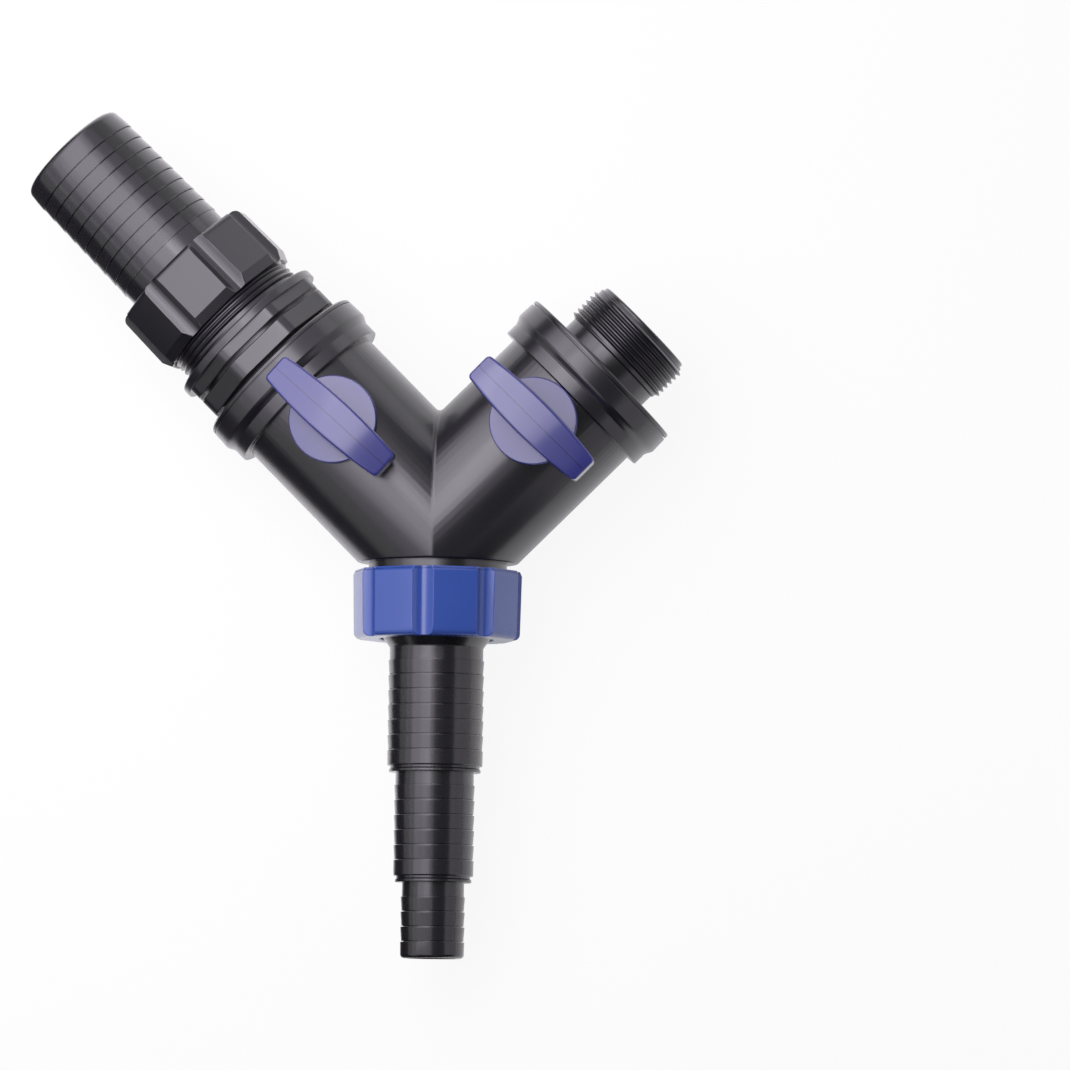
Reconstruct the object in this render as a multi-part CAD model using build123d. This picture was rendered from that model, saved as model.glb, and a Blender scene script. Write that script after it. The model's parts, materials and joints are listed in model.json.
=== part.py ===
"""Tubing Y connector: a Y body with two ball valves, threaded outlets, union nuts and hose tails.

Lengths are in millimetres. While drawing, the origin is where the three waterways cross, the
stem points along -Y, the arms rise at 45 degrees either side of +Y and the handles look up
along +Z. At the end every piece gets the same move, so that the fitting lies at rest on the
floor with the middle of its underside at the origin.
"""

from build123d import *

import os
from math import atan2, cos, degrees, hypot, radians, sin

# clearances
TURN_GAP = 0.05             # radial, round whatever turns in a bore
FACE_GAP = 0.3              # between faces that move past each other
SEAL_GAP = 0.03             # round a ring in its groove
THREAD_FIT = 0.08           # radial, between an outside and an inside thread

# ball valves
VALVE_AT = 56.3             # valve axis along the arm from the crossing
BALL_R = 24.0
PORT_R = 16.0
SEAT_AT = 13.0              # face of each seat from the valve axis
SEAT_L = 6.5
SLOT_W = 5.2                # drive slot in the ball, across its bore
SLOT_WALL = 1.8             # left between slot and bore
TONGUE_L = 13.6
SPINDLE_R = 6.45
SPINDLE_FLANGE_R = 8.5
SPINDLE_FLANGE_T = 2.2
SPINDLE_SQUARE = 8.0
SPINDLE_IN_HANDLE = 12.7
SPINDLE_GROOVE_D = 1.7      # groove for the ring, deep and wide
SPINDLE_GROOVE_W = 1.8
LEFT_TURN = 3.7             # degrees that the left handle stands from fully open
RIGHT_TURN = 90.8           # degrees that the right handle stands from fully open

# Y body
ARM_ANGLE = 45.0            # of each arm from the +Y axis
CHAMBER_R = hypot(BALL_R + 2 * FACE_GAP + SPINDLE_FLANGE_T, SPINDLE_FLANGE_R)
TUBE_WALL = 4.58            # wall round the valve chamber
TUBE_R = CHAMBER_R + TUBE_WALL
ARM_BORE_R = 17.0
STEM_BORE_R = 20.0
BASE_AT = 14.3              # flat underside of the body, down the stem
BASE_ROUND = 1.2
BOSS_R = 16.6               # round boss below each handle
BOSS_PROUD = 0.3            # above the tube

# collar at the end of each arm
FLANGE_AT = 74.0            # step out of the tube, along the arm
FLANGE_STEP = 3.85
FLANGE_L = 5.4
SWELL_L = 3.3               # curve from the flange up to the ring
SWELL_ROUND = 0.9
RING_STEP = 5.4
RING_L = 6.7
RING_TAPER = 0.25

# handles
DISC_R = 17.5
DISC_T = 4.7
DISC_ROUND = 0.6
PADDLE_L = 59.3
PADDLE_MID_W = 16.1
PADDLE_END_W = 11.8
PADDLE_MID_H = 16.0         # arched top, above the disc
PADDLE_END_H = 12.0
PADDLE_UNDER_H = 3.2        # underside at both tips, above the disc
PADDLE_ROOT_L = 25.0        # stretch of the grip that stands on the disc
PADDLE_CORNER = 2.0
PADDLE_ROUND = 1.2

# outlet fittings, which close the arms and carry a G 1 1/2 outside thread
SPIGOT_WALL = 11.9          # round the bore next to the outer seat
SPIGOT_BORE_L = 6.4
RING_GROOVE_AT = 5.0        # groove of the sealing ring, from the inner end
RING_GROOVE_W = 2.6
RING_GROOVE_D = 2.7
LIP_L = 2.2
LIP_INSET = 0.1             # inside the end of the collar
LIP_GROOVE = 0.4            # parting line between collar and lip
NECK_R = 21.75
NECK_L = 5.8
THREAD_11_R = 23.9
THREAD_11_L = 15.8
THREAD_LEAD = 1.3           # bevel at the start and end of each thread
END_RING_L = 2.3
OUTLET_BORE_R = 18.0

# adapter on the left outlet, G 1 1/2 inside and G 2 outside
ADAPTER_GASKET_T = 1.8
ADAPTER_GASKET_W = 3.6
ADAPTER_FLAT = 64.6         # across the flats of its octagon
ADAPTER_CORNER = 0.66       # corners of the octagon turned down by this much
BAND_1_L = 7.8
BAND_GROOVE_L = 1.8
BAND_GROOVE_D = 1.3
BAND_2_L = 4.8
RIM_L = 3.8
RIM_R = 34.5
RIM_ROUND = 0.9
ADAPTER_THREAD_L = 26.4
SOCKET_SPARE = 1.5          # depth of the socket beyond the outlet's end
ADAPTER_BORE_R = 19.5

# union joints, the same on the left arm and at the bottom, G 2
THREAD_2_R = 29.7
GASKET_T = 2.0
GASKET_IN = 2.2             # radius of a gasket inside the thread
GASKET_W = 3.45
TAIL_FLANGE_IN = 1.6        # radius of a tail's flange inside the thread
TAIL_FLANGE_T = 3.6
NUT_ENGAGED = 17.4          # length of thread that the nut holds
NUT_WEB = 4.2               # web behind the flange of the tail
NUT_WALL = 4.0
NUT_MOUTH_IN = 1.9          # mouth, pads and far end inside the widest radius
NUT_BEVEL_L = 4.0
NUT_DRAFT = 0.6
NUT_FAR_ROUND = 2.4
NUT_PADS = 8
NUT_PAD_IN = 0.9
NUT_GROOVE_W = 8.2
NUT_GROOVE_D = 2.6
NUT_GROOVE_SLOPE = 1.4      # how much each side of a groove leans out
LEFT_NUT_TURN = 18.3        # degrees from straight up to the first groove of the left nut
BASE_NUT_TURN = 5.6         # degrees from straight up to the first groove of the bottom nut

# hose tails
BARB_PITCH = 6.0
TAIL_50_R = 25.05           # straight tail, for 50 mm hose, at its first barb
TAIL_50_TAPER = 0.8         # radius lost towards the free end
TAIL_50_L = 69.4            # from the back of its flange
TAIL_50_BARB = 0.35         # depth of the barbs
TAIL_50_PLAIN = 10.0        # bare length behind the flange
TAIL_50_LAND = 9.7          # last barb from the free end
TAIL_50_WALL = 3.65         # next to the flange
TAIL_END_ROUND = 2.2
CONE_R = 22.1               # stepped tail: shoulder below the nut
CONE_PLAIN = 3.3
CONE_L = 4.4
STEP_R = (19.1, 16.05, 12.8)
STEP_L = (49.9, 43.9, 30.2)
STEP_LAND = (8.7, 8.8, 6.5)
STEP_BARB = 0.4
STEP_PLAIN = 4.0
STEP_WALL = (3.9, 3.4, 3.0)
STEP_GROOVE = (1.25, 2.4)   # groove at the end of a step: depth, and from the end
STEP_LIP = (0.8, 1.2)       # lip beyond it: inside the crest, and length
HOLE_GAP = 0.35             # between the web of a nut and its tail

# lower end of the body
NECK_2_R = 27.65
NECK_2_L = 3.7
BASE_THREAD_L = 16.9

# places that follow from the sizes
BOSS_TOP = TUBE_R + BOSS_PROUD
DISC_AT = BOSS_TOP + FACE_GAP
DISC_TOP = DISC_AT + DISC_T
CHAMBER_AT = VALVE_AT - SEAT_AT - SEAT_L
SPIGOT_AT = VALVE_AT + SEAT_AT + SEAT_L
SPIGOT_R = CHAMBER_R - TURN_GAP
COLLAR_END = FLANGE_AT + FLANGE_L + SWELL_L + RING_L
RING_R = TUBE_R + RING_STEP
LIP_END = COLLAR_END + LIP_L
OUTLET_END = LIP_END + NECK_L + THREAD_11_L + END_RING_L
ADAPTER_AT = LIP_END + ADAPTER_GASKET_T
RIM_AT = ADAPTER_AT + BAND_1_L + BAND_GROOVE_L + BAND_2_L
ADAPTER_END = RIM_AT + RIM_L + ADAPTER_THREAD_L
NUT_R = THREAD_2_R + THREAD_FIT + NUT_WALL
NUT_FAR_R = NUT_R - NUT_DRAFT
TAIL_FLANGE_R = THREAD_2_R - TAIL_FLANGE_IN
GASKET_R = THREAD_2_R - GASKET_IN
NUT_BEHIND = GASKET_T + TAIL_FLANGE_T + FACE_GAP + NUT_WEB
BASE_END = BASE_AT + NECK_2_L + BASE_THREAD_L


def arm_plane(side):
    """Frame of an arm: Z along the arm, X straight up. side is -1 for left, 1 for right."""
    a = radians(ARM_ANGLE)
    return Plane(origin=(0, 0, 0), x_dir=(0, 0, 1), z_dir=(side * sin(a), cos(a), 0))


def stem_plane():
    """Frame of the stem: Z down the stem, X straight up."""
    return Plane(origin=(0, 0, 0), x_dir=(0, 0, 1), z_dir=(0, -1, 0))


def valve_plane(side):
    """Frame of a valve: origin in the ball, Z up through the handle, X out along the arm."""
    a = radians(ARM_ANGLE)
    out = (side * sin(a), cos(a), 0)
    return Plane(origin=tuple(VALVE_AT * c for c in out), x_dir=out, z_dir=(0, 0, 1))


def turned(*points):
    """Solid turned about Z from its (radius, height) corners."""
    return revolve(Plane.XZ * make_face(Polyline(*points, close=True)), Axis.Z)


def rod(radius, start, end):
    """Cylinder on Z between two heights."""
    return Pos(0, 0, (start + end) / 2) * Cylinder(radius, end - start)


def block(x, y, start, end):
    """Box on Z between two heights."""
    return Pos(0, 0, (start + end) / 2) * Box(x, y, end - start)


def washer(outer, inner, start, end):
    """Flat ring on Z between two heights."""
    return rod(outer, start, end) - rod(inner, start - 1, end + 1)


def prism(apothem, sides, start, end, turn):
    """Regular prism on Z with the middle of one side towards the given angle."""
    outline = RegularPolygon(apothem, sides, major_radius=False, rotation=180 / sides + turn)
    return Pos(0, 0, start) * extrude(outline, end - start)


def half_tube(side):
    """One arm, from the mitre in the middle to its collar."""
    tube = arm_plane(side) * rod(TUBE_R, -2 * TUBE_R, FLANGE_AT + FLANGE_L / 2)
    reach = 4 * FLANGE_AT
    keep = Pos(side * reach / 2, reach / 2 - BASE_AT, 0) * Box(reach, reach, reach)
    return tube & keep


def joined_tubes():
    """Both arms as one, with a rounded edge round their flat underside."""
    tubes = half_tube(-1) + half_tube(1)
    lower = [e for e in tubes.edges() if abs(e.center().Y + BASE_AT) < 0.01]
    return fillet(lower, BASE_ROUND)


def collar():
    """Stepped collar in the frame of an arm."""
    swell = FLANGE_AT + FLANGE_L
    ring = swell + SWELL_L
    inner = (TUBE_R + CHAMBER_R) / 2
    flange_r = TUBE_R + FLANGE_STEP
    return turned(
        (inner, FLANGE_AT), (flange_r - 0.5, FLANGE_AT), (flange_r, FLANGE_AT + 0.5),
        (flange_r, swell), (flange_r + 0.35, swell + SWELL_ROUND),
        (RING_R - 0.35, ring - SWELL_ROUND), (RING_R, ring),
        (RING_R - RING_TAPER, COLLAR_END), (inner, COLLAR_END),
    )


def threaded_end():
    """Neck and G 2 outside thread below the body, in the frame of the stem."""
    thread = BASE_AT + NECK_2_L
    return turned(
        (0, 0), (NECK_2_R / 2, 0), (NECK_2_R, BASE_AT / 2), (NECK_2_R, thread),
        (THREAD_2_R - THREAD_LEAD, thread), (THREAD_2_R, thread + THREAD_LEAD),
        (THREAD_2_R, BASE_END - THREAD_LEAD), (THREAD_2_R - THREAD_LEAD, BASE_END), (0, BASE_END),
    )


def y_body():
    """Moulded body: two arms with collars and valve bosses, neck and threaded lower end."""
    body = joined_tubes()
    body += stem_plane() * threaded_end()
    for side in (-1, 1):
        body += arm_plane(side) * collar()
        body += valve_plane(side) * rod(BOSS_R, CHAMBER_R / 2, BOSS_TOP)
    body -= stem_plane() * rod(STEM_BORE_R, 0, BASE_END + 1)
    body -= Sphere(STEM_BORE_R)
    for side in (-1, 1):
        body -= arm_plane(side) * rod(ARM_BORE_R, 0, CHAMBER_AT + 1)
        body -= arm_plane(side) * rod(CHAMBER_R, CHAMBER_AT, COLLAR_END + 1)
        body -= valve_plane(side) * rod(SPINDLE_R + TURN_GAP, BALL_R / 2, BOSS_TOP + 1)
    return body


def outlet():
    """Fitting that closes an arm: spigot behind the seat, lip, neck and outside thread."""
    lip_r = RING_R - RING_TAPER - LIP_INSET
    thread = LIP_END + NECK_L
    ring = thread + THREAD_11_L
    groove = SPIGOT_AT + RING_GROOVE_AT
    end_r = NECK_R + 0.2
    return turned(
        (SPIGOT_R - SPIGOT_WALL, SPIGOT_AT), (SPIGOT_R - 0.6, SPIGOT_AT), (SPIGOT_R, SPIGOT_AT + 0.6),
        (SPIGOT_R, groove), (SPIGOT_R - RING_GROOVE_D, groove),
        (SPIGOT_R - RING_GROOVE_D, groove + RING_GROOVE_W), (SPIGOT_R, groove + RING_GROOVE_W),
        (SPIGOT_R, COLLAR_END), (lip_r - LIP_GROOVE, COLLAR_END),
        (lip_r - LIP_GROOVE, COLLAR_END + 0.3), (lip_r, COLLAR_END + 0.45), (lip_r, LIP_END - 0.7),
        (lip_r - 0.7, LIP_END), (NECK_R + 0.8, LIP_END), (NECK_R, LIP_END + 0.8), (NECK_R, thread),
        (THREAD_11_R, thread + THREAD_LEAD), (THREAD_11_R, ring - THREAD_LEAD), (end_r, ring),
        (end_r, OUTLET_END - 0.8), (end_r - 0.8, OUTLET_END), (OUTLET_BORE_R, OUTLET_END),
        (OUTLET_BORE_R, SPIGOT_AT + SPIGOT_BORE_L),
        (SPIGOT_R - SPIGOT_WALL, SPIGOT_AT + SPIGOT_BORE_L),
    )


def outlet_ring():
    """Sealing ring in the groove of the outlet's spigot."""
    section = RING_GROOVE_W / 2 - SEAL_GAP
    middle = SPIGOT_AT + RING_GROOVE_AT + RING_GROOVE_W / 2
    return Pos(0, 0, middle) * Torus(SPIGOT_R - section, section)


def seat(direction):
    """Ring that the ball turns against, inside (-1) or outside (1) of the valve axis."""
    near = VALVE_AT + direction * SEAT_AT
    far = near + direction * (SEAT_L - TURN_GAP)
    ring = washer(CHAMBER_R - TURN_GAP, PORT_R + 0.2, min(near, far), max(near, far))
    return ring - Pos(0, 0, VALVE_AT) * Sphere(BALL_R + TURN_GAP)


def ball():
    """Valve ball in its open position, with the drive slot across the bore."""
    solid = Sphere(BALL_R) - Rot(0, 90, 0) * rod(PORT_R, -BALL_R, BALL_R)
    return solid - block(SLOT_W, 2 * BALL_R, PORT_R + SLOT_WALL, BALL_R + 1)


def spindle():
    """Spindle that joins the handle to the ball."""
    flange = BALL_R + FACE_GAP
    neck = flange + SPINDLE_FLANGE_T
    square = DISC_AT + SPINDLE_IN_HANDLE
    groove = (CHAMBER_R + BOSS_TOP - SPINDLE_GROOVE_W) / 2
    solid = block(SLOT_W - 4 * TURN_GAP, TONGUE_L, PORT_R + SLOT_WALL + TURN_GAP, neck)
    solid += rod(SPINDLE_FLANGE_R, flange, neck)
    solid += rod(SPINDLE_R, flange, DISC_AT)
    solid += block(SPINDLE_SQUARE, SPINDLE_SQUARE, neck, square)
    return solid - washer(SPINDLE_R + 1, SPINDLE_R - SPINDLE_GROOVE_D, groove, groove + SPINDLE_GROOVE_W)


def spindle_ring():
    """Sealing ring round the spindle."""
    section = SPINDLE_GROOVE_D / 2 - SEAL_GAP
    return Pos(0, 0, (CHAMBER_R + BOSS_TOP) / 2) * Torus(SPINDLE_R - section - SEAL_GAP, section)


def paddle():
    """Boat-shaped grip: curved in plan, arched along its top, clear of the body at both tips."""
    half, root = PADDLE_L / 2, PADDLE_ROOT_L / 2
    mid, end = PADDLE_MID_W / 2, PADDLE_END_W / 2
    under, top = DISC_TOP + PADDLE_UNDER_H, DISC_TOP + PADDLE_END_H
    plan = make_face(Curve() + [
        ThreePointArc((-half, -end), (0, -mid), (half, -end)),
        Line((half, -end), (half, end)),
        ThreePointArc((half, end), (0, mid), (-half, end)),
        Line((-half, end), (-half, -end)),
    ])
    side = make_face(Curve() + [
        ThreePointArc((-half, top), (0, DISC_TOP + PADDLE_MID_H), (half, top)),
        Polyline(
            (half, top), (half, under), (root, DISC_TOP), (root, DISC_AT + 1),
            (-root, DISC_AT + 1), (-root, DISC_TOP), (-half, under), (-half, top),
        ),
    ])
    solid = extrude(plan, DISC_TOP + 2 * PADDLE_MID_H) & extrude(Plane.XZ * side, PADDLE_MID_W, both=True)
    ends = [e for e in solid.edges().filter_by(Axis.Z) if abs(abs(e.center().X) - half) < 0.01]
    solid = fillet(ends, PADDLE_CORNER)
    crown = solid.faces().sort_by(Axis.Z)[-1]
    return fillet(crown.edges(), PADDLE_ROUND)


def handle():
    """Round disc with the grip on it and a square socket below."""
    disc = rod(DISC_R, DISC_AT, DISC_TOP)
    rim = [e for e in disc.edges() if abs(e.center().Z - DISC_TOP) < 0.01]
    square = SPINDLE_SQUARE + 2 * TURN_GAP
    socket = block(square, square, DISC_AT - 1, DISC_AT + SPINDLE_IN_HANDLE + TURN_GAP)
    return fillet(rim, DISC_ROUND) + paddle() - socket


def adapter():
    """Octagon with two bands and a round rim, then the G 2 outside thread."""
    corner_r = ADAPTER_FLAT / 2 / cos(radians(22.5)) - ADAPTER_CORNER
    groove = ADAPTER_AT + BAND_1_L
    thread = RIM_AT + RIM_L
    solid = prism(ADAPTER_FLAT / 2, 8, ADAPTER_AT, RIM_AT + RIM_L / 2, 0)
    solid &= rod(corner_r, ADAPTER_AT, thread)
    solid -= washer(corner_r + 1, ADAPTER_FLAT / 2 - BAND_GROOVE_D, groove, groove + BAND_GROOVE_L)
    solid += turned(
        (0, RIM_AT), (RIM_R - RIM_ROUND, RIM_AT), (RIM_R, RIM_AT + RIM_ROUND),
        (RIM_R, thread - RIM_ROUND), (RIM_R - RIM_ROUND, thread), (THREAD_2_R - THREAD_LEAD, thread),
        (THREAD_2_R, thread + THREAD_LEAD), (THREAD_2_R, ADAPTER_END - THREAD_LEAD),
        (THREAD_2_R - THREAD_LEAD, ADAPTER_END), (0, ADAPTER_END),
    )
    socket = OUTLET_END + SOCKET_SPARE
    solid -= rod(THREAD_11_R + THREAD_FIT, ADAPTER_AT - 1, socket)
    return solid - rod(ADAPTER_BORE_R, socket - 1, ADAPTER_END + 1)


def pad_groove(start, end):
    """Trough between two pads, wider outside than at its floor."""
    floor_r, half = NUT_R - NUT_GROOVE_D, NUT_GROOVE_W / 2
    beyond = NUT_R + NUT_GROOVE_D
    trough = make_face(Polyline(
        (floor_r, NUT_GROOVE_SLOPE - half), (NUT_R, -half), (beyond, -half), (beyond, half),
        (NUT_R, half), (floor_r, half - NUT_GROOVE_SLOPE), close=True,
    ))
    return Pos(0, 0, start) * extrude(trough, end - start)


def union_nut(thread_end, hole_r, turn):
    """Nut over the end of a thread: eight flat pads, and a web behind the tail's flange."""
    start, end = thread_end - NUT_ENGAGED, thread_end + NUT_BEHIND
    solid = turned(
        (hole_r, start), (NUT_R - NUT_MOUTH_IN, start), (NUT_R - 0.6, start + 1.6),
        (NUT_R, start + NUT_BEVEL_L), (NUT_FAR_R, end - NUT_FAR_ROUND), (NUT_FAR_R - 0.7, end - 0.7),
        (NUT_FAR_R - NUT_FAR_ROUND, end), (hole_r, end),
    )
    solid &= prism(NUT_R - NUT_PAD_IN, NUT_PADS, start - 1, end + 1, turn + 180 / NUT_PADS)
    for k in range(NUT_PADS):
        solid -= Rot(0, 0, turn + k * 360 / NUT_PADS) * pad_groove(start - 1, end + 1)
    return solid - rod(THREAD_2_R + THREAD_FIT, start - 1, end - NUT_WEB)


def barbs(last, length, plain, crest, depth, end, taper=0):
    """Outline of a barbed length: each ledge faces the nut, each cone the free end."""
    count = int((length - plain) / BARB_PITCH) + 1
    points = [(crest - depth, last - (count - 1) * BARB_PITCH)]
    for k in reversed(range(count)):
        at = last - k * BARB_PITCH
        top = crest - taper * (count - 1 - k) / count
        points += [(top, at), (top - depth, at + BARB_PITCH if k else end)]
    return points


def left_hose_tail():
    """Straight tail for 50 mm hose, with the flange that its nut holds."""
    start = ADAPTER_END + GASKET_T
    flange = start + TAIL_FLANGE_T
    end = flange + TAIL_50_L
    bore_r = TAIL_50_R - TAIL_50_WALL
    end_r = TAIL_50_R - TAIL_50_TAPER
    run = TAIL_50_L - TAIL_50_LAND
    return turned(
        (bore_r, start), (TAIL_FLANGE_R, start), (TAIL_FLANGE_R, flange),
        (TAIL_50_R - TAIL_50_BARB, flange),
        *barbs(end - TAIL_50_LAND, run, TAIL_50_PLAIN, TAIL_50_R, TAIL_50_BARB,
               end - TAIL_END_ROUND, TAIL_50_TAPER),
        (end_r - TAIL_END_ROUND / 2, end - TAIL_END_ROUND / 3), (end_r - TAIL_END_ROUND, end),
        (bore_r, end),
    )


def stepped_hose_tail():
    """Tail with three sizes of hose end, widest next to the nut."""
    start = BASE_END + GASKET_T
    flange = start + TAIL_FLANGE_T
    at = flange + CONE_PLAIN + CONE_L
    outside = [
        (TAIL_FLANGE_R, start), (TAIL_FLANGE_R, flange), (CONE_R, flange), (CONE_R, at - CONE_L),
    ]
    inside = [(CONE_R - STEP_WALL[0], start)]
    for k, (crest, length, land, wall) in enumerate(zip(STEP_R, STEP_L, STEP_LAND, STEP_WALL)):
        last = k == len(STEP_R) - 1
        end = at + length
        finish = end - (1.2 if last else STEP_GROOVE[1] + 1.0)
        outside += [(crest - STEP_BARB, at)]
        outside += barbs(end - land, length - land, STEP_PLAIN, crest, STEP_BARB, finish)
        inside += [(crest - wall, at), (crest - wall, end if last else end - 2 * STEP_GROOVE[1])]
        if last:
            outside += [(crest - 0.6, end - 0.9), (crest - 1.6, end)]
        else:
            floor_r, lip_r = crest - STEP_GROOVE[0], crest - STEP_LIP[0]
            outside += [
                (floor_r, end - STEP_GROOVE[1]), (floor_r, end - STEP_LIP[1] - 0.4),
                (lip_r, end - STEP_LIP[1]), (lip_r, end),
            ]
        at = end
    return turned(*outside, *reversed(inside))


def union_gasket(thread_end):
    """Flat sealing ring between the end of a thread and the flange of a tail."""
    return washer(GASKET_R, GASKET_R - GASKET_W, thread_end, thread_end + GASKET_T)


def adapter_gasket():
    """Flat sealing ring between the left outlet's lip and the adapter."""
    bore_r = THREAD_11_R + 2 * THREAD_FIT
    return washer(bore_r + ADAPTER_GASKET_W, bore_r, LIP_END, ADAPTER_AT)


def pieces():
    """Every piece by its node name, still in the drawing frame."""
    made = {"y_body": y_body()}
    for name, side, turn in (("left", -1, LEFT_TURN), ("right", 1, RIGHT_TURN)):
        arm, valve = arm_plane(side), valve_plane(side) * Rot(0, 0, turn)
        made[f"{name}_outlet"] = arm * outlet()
        made[f"{name}_outlet_ring"] = arm * outlet_ring()
        made[f"{name}_inner_seat"] = arm * seat(-1)
        made[f"{name}_outer_seat"] = arm * seat(1)
        made[f"{name}_ball"] = valve * ball()
        made[f"{name}_spindle"] = valve * spindle()
        made[f"{name}_spindle_ring"] = valve * spindle_ring()
        made[f"{name}_handle"] = valve * handle()
    arm, stem = arm_plane(-1), stem_plane()
    made["adapter_gasket"] = arm * adapter_gasket()
    made["adapter"] = arm * adapter()
    made["left_union_gasket"] = arm * union_gasket(ADAPTER_END)
    made["left_union_nut"] = arm * union_nut(ADAPTER_END, TAIL_50_R + HOLE_GAP, LEFT_NUT_TURN)
    made["left_hose_tail"] = arm * left_hose_tail()
    made["base_union_gasket"] = stem * union_gasket(BASE_END)
    made["base_union_nut"] = stem * union_nut(BASE_END, CONE_R + 2 * HOLE_GAP, BASE_NUT_TURN)
    made["stepped_hose_tail"] = stem * stepped_hose_tail()
    return made


def rest_tilt():
    """Angle about X at which both collars and the bottom nut touch the floor."""
    collar_y = (COLLAR_END - RING_L / 2) * cos(radians(ARM_ANGLE))
    nut_y = -(BASE_END + NUT_BEHIND - NUT_FAR_ROUND)
    return degrees(atan2(RING_R - NUT_FAR_R, collar_y - nut_y))


def resting_move(made):
    """Move that lays the tilted fitting on the floor, centred on the origin."""
    tilt = Rot(rest_tilt(), 0, 0)
    box = Compound(children=[tilt * piece for piece in made.values()]).bounding_box()
    return Pos(-(box.min.X + box.max.X) / 2, -(box.min.Y + box.max.Y) / 2, -box.min.Z) * tilt


def main():
    os.makedirs("parts", exist_ok=True)
    made = pieces()
    move = resting_move(made)
    for name, piece in made.items():
        export_step(move * piece, f"parts/{name}.step")


if __name__ == "__main__":
    main()
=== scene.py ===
"""Looks of the tubing Y connector: moulded black fittings, blue valve handles and a blue union nut.

Shapes are drawn in millimetres in the frame that the CAD part is drawn in: the origin is where
the three waterways cross, the stem points along -Y, the arms rise at 45 degrees either side of
+Y and the handles look up along +Z. One matrix, read from the valves' own axes, then puts
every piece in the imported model's frame.
"""

import json
from math import cos, degrees, pi, radians, sin, tan

import bmesh
import bpy
from mathutils import Matrix, Vector


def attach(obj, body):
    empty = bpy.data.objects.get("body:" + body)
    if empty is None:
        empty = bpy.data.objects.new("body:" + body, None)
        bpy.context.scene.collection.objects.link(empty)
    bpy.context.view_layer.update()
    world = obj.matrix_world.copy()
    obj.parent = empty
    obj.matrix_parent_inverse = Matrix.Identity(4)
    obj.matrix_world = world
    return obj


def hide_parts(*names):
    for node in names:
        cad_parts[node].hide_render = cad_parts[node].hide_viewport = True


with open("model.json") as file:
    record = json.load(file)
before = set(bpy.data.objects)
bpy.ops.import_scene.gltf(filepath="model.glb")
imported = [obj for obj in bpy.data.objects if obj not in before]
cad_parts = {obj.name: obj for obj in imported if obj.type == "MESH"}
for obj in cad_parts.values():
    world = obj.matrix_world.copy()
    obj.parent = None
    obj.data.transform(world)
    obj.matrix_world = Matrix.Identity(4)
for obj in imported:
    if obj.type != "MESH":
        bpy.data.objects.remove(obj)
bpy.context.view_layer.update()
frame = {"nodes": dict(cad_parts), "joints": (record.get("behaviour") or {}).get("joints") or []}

# sizes of the CAD part, in millimetres
VALVE_AT = 56.3
TUBE_R = 32.7
CHAMBER_R = 28.12
MOUTH_AT, MOUTH_R = 76.7, 30.41     # wider bore at the end of each arm
BASE_AT = 14.3
GRIP_TURN = {"left": 3.7, "right": 90.8}    # degrees from along the arm
MITRE_BAND = 1.0            # either side of the line where the arms meet
CROTCH_R = 2.2              # rounding of the valley between the arms
CRISP_EDGE = 0.3            # width taken off the edges of the handles
STEM_BORE_R = 20.0
FLANGE_AT, FLANGE_R = 74.0, 36.55
SWELL_AT, RING_AT, COLLAR_END = 79.4, 82.7, 89.4
RING_R, RING_END_R = 38.1, 37.85
LIP_R, LIP_END = 37.75, 91.6
SPIGOT_AT, SPIGOT_R = 75.8, 28.07
NECK_R, OUTLET_BORE_R = 21.75, 18.0
THREAD_11_R, THREAD_11_AT, THREAD_11_END, OUTLET_END = 23.9, 97.4, 113.2, 115.5
ADAPTER_AT, ADAPTER_FLAT_R, ADAPTER_CORNER_R = 93.4, 32.3, 34.3
BAND_1_END, BAND_2_AT, RIM_AT, RIM_END, RIM_R = 101.2, 103.0, 107.8, 111.6, 34.5
ADAPTER_END, ADAPTER_SOCKET, ADAPTER_BORE_R = 138.0, 117.0, 19.5
THREAD_2_R = 29.7
NUT_R, NUT_GROOVE_R, NUT_L, NUT_WEB, NUT_FAR_ROUND = 33.78, 31.18, 27.5, 4.2, 2.6
NUT_FLOOR, NUT_PAD_EDGE = 0.5, 4.4      # half widths of a groove, at its floor and at the pads
NUT_FLAT = 0.9                          # share of flatness in a pad, 0 is round
NUT_DRAFT, NUT_GROOVE_DRAFT = 0.6, 0.3
NUT_ENGAGED = 17.4
THREAD_FIT = 0.08
HOLE_GAP = 0.35                         # between the web of a nut and its tail
CONE_R = 22.1
TAIL_FLANGE_R, TAIL_FLANGE_T, GASKET_T = 28.1, 3.6, 2.0
TAIL_50_R, TAIL_50_BORE_R, TAIL_50_TAPER = 25.05, 21.4, 0.8
TAIL_50_FIRST, TAIL_50_BARBS, TAIL_50_END = 155.3, 9, 213.0
TAIL_50_BARB, TAIL_50_ROUND = 0.38, 2.3
STEP_BARB = 0.42
NECK_2_R, NECK_2_END, BASE_END = 27.65, 18.0, 34.9
BARB_PITCH, BARB_LINE, BARB_LINE_DEPTH = 6.0, 0.36, 0.7
THREAD_PITCH, THREAD_DEPTH, THREAD_CREST = 2.309, 1.45, 0.3

STEPS = 144                 # sides of a turned piece
MERGE = 0.004               # corners closer than this become one


# where things are

def joint(name):
    return next(j for j in frame["joints"] if j["name"] == name)


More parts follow.
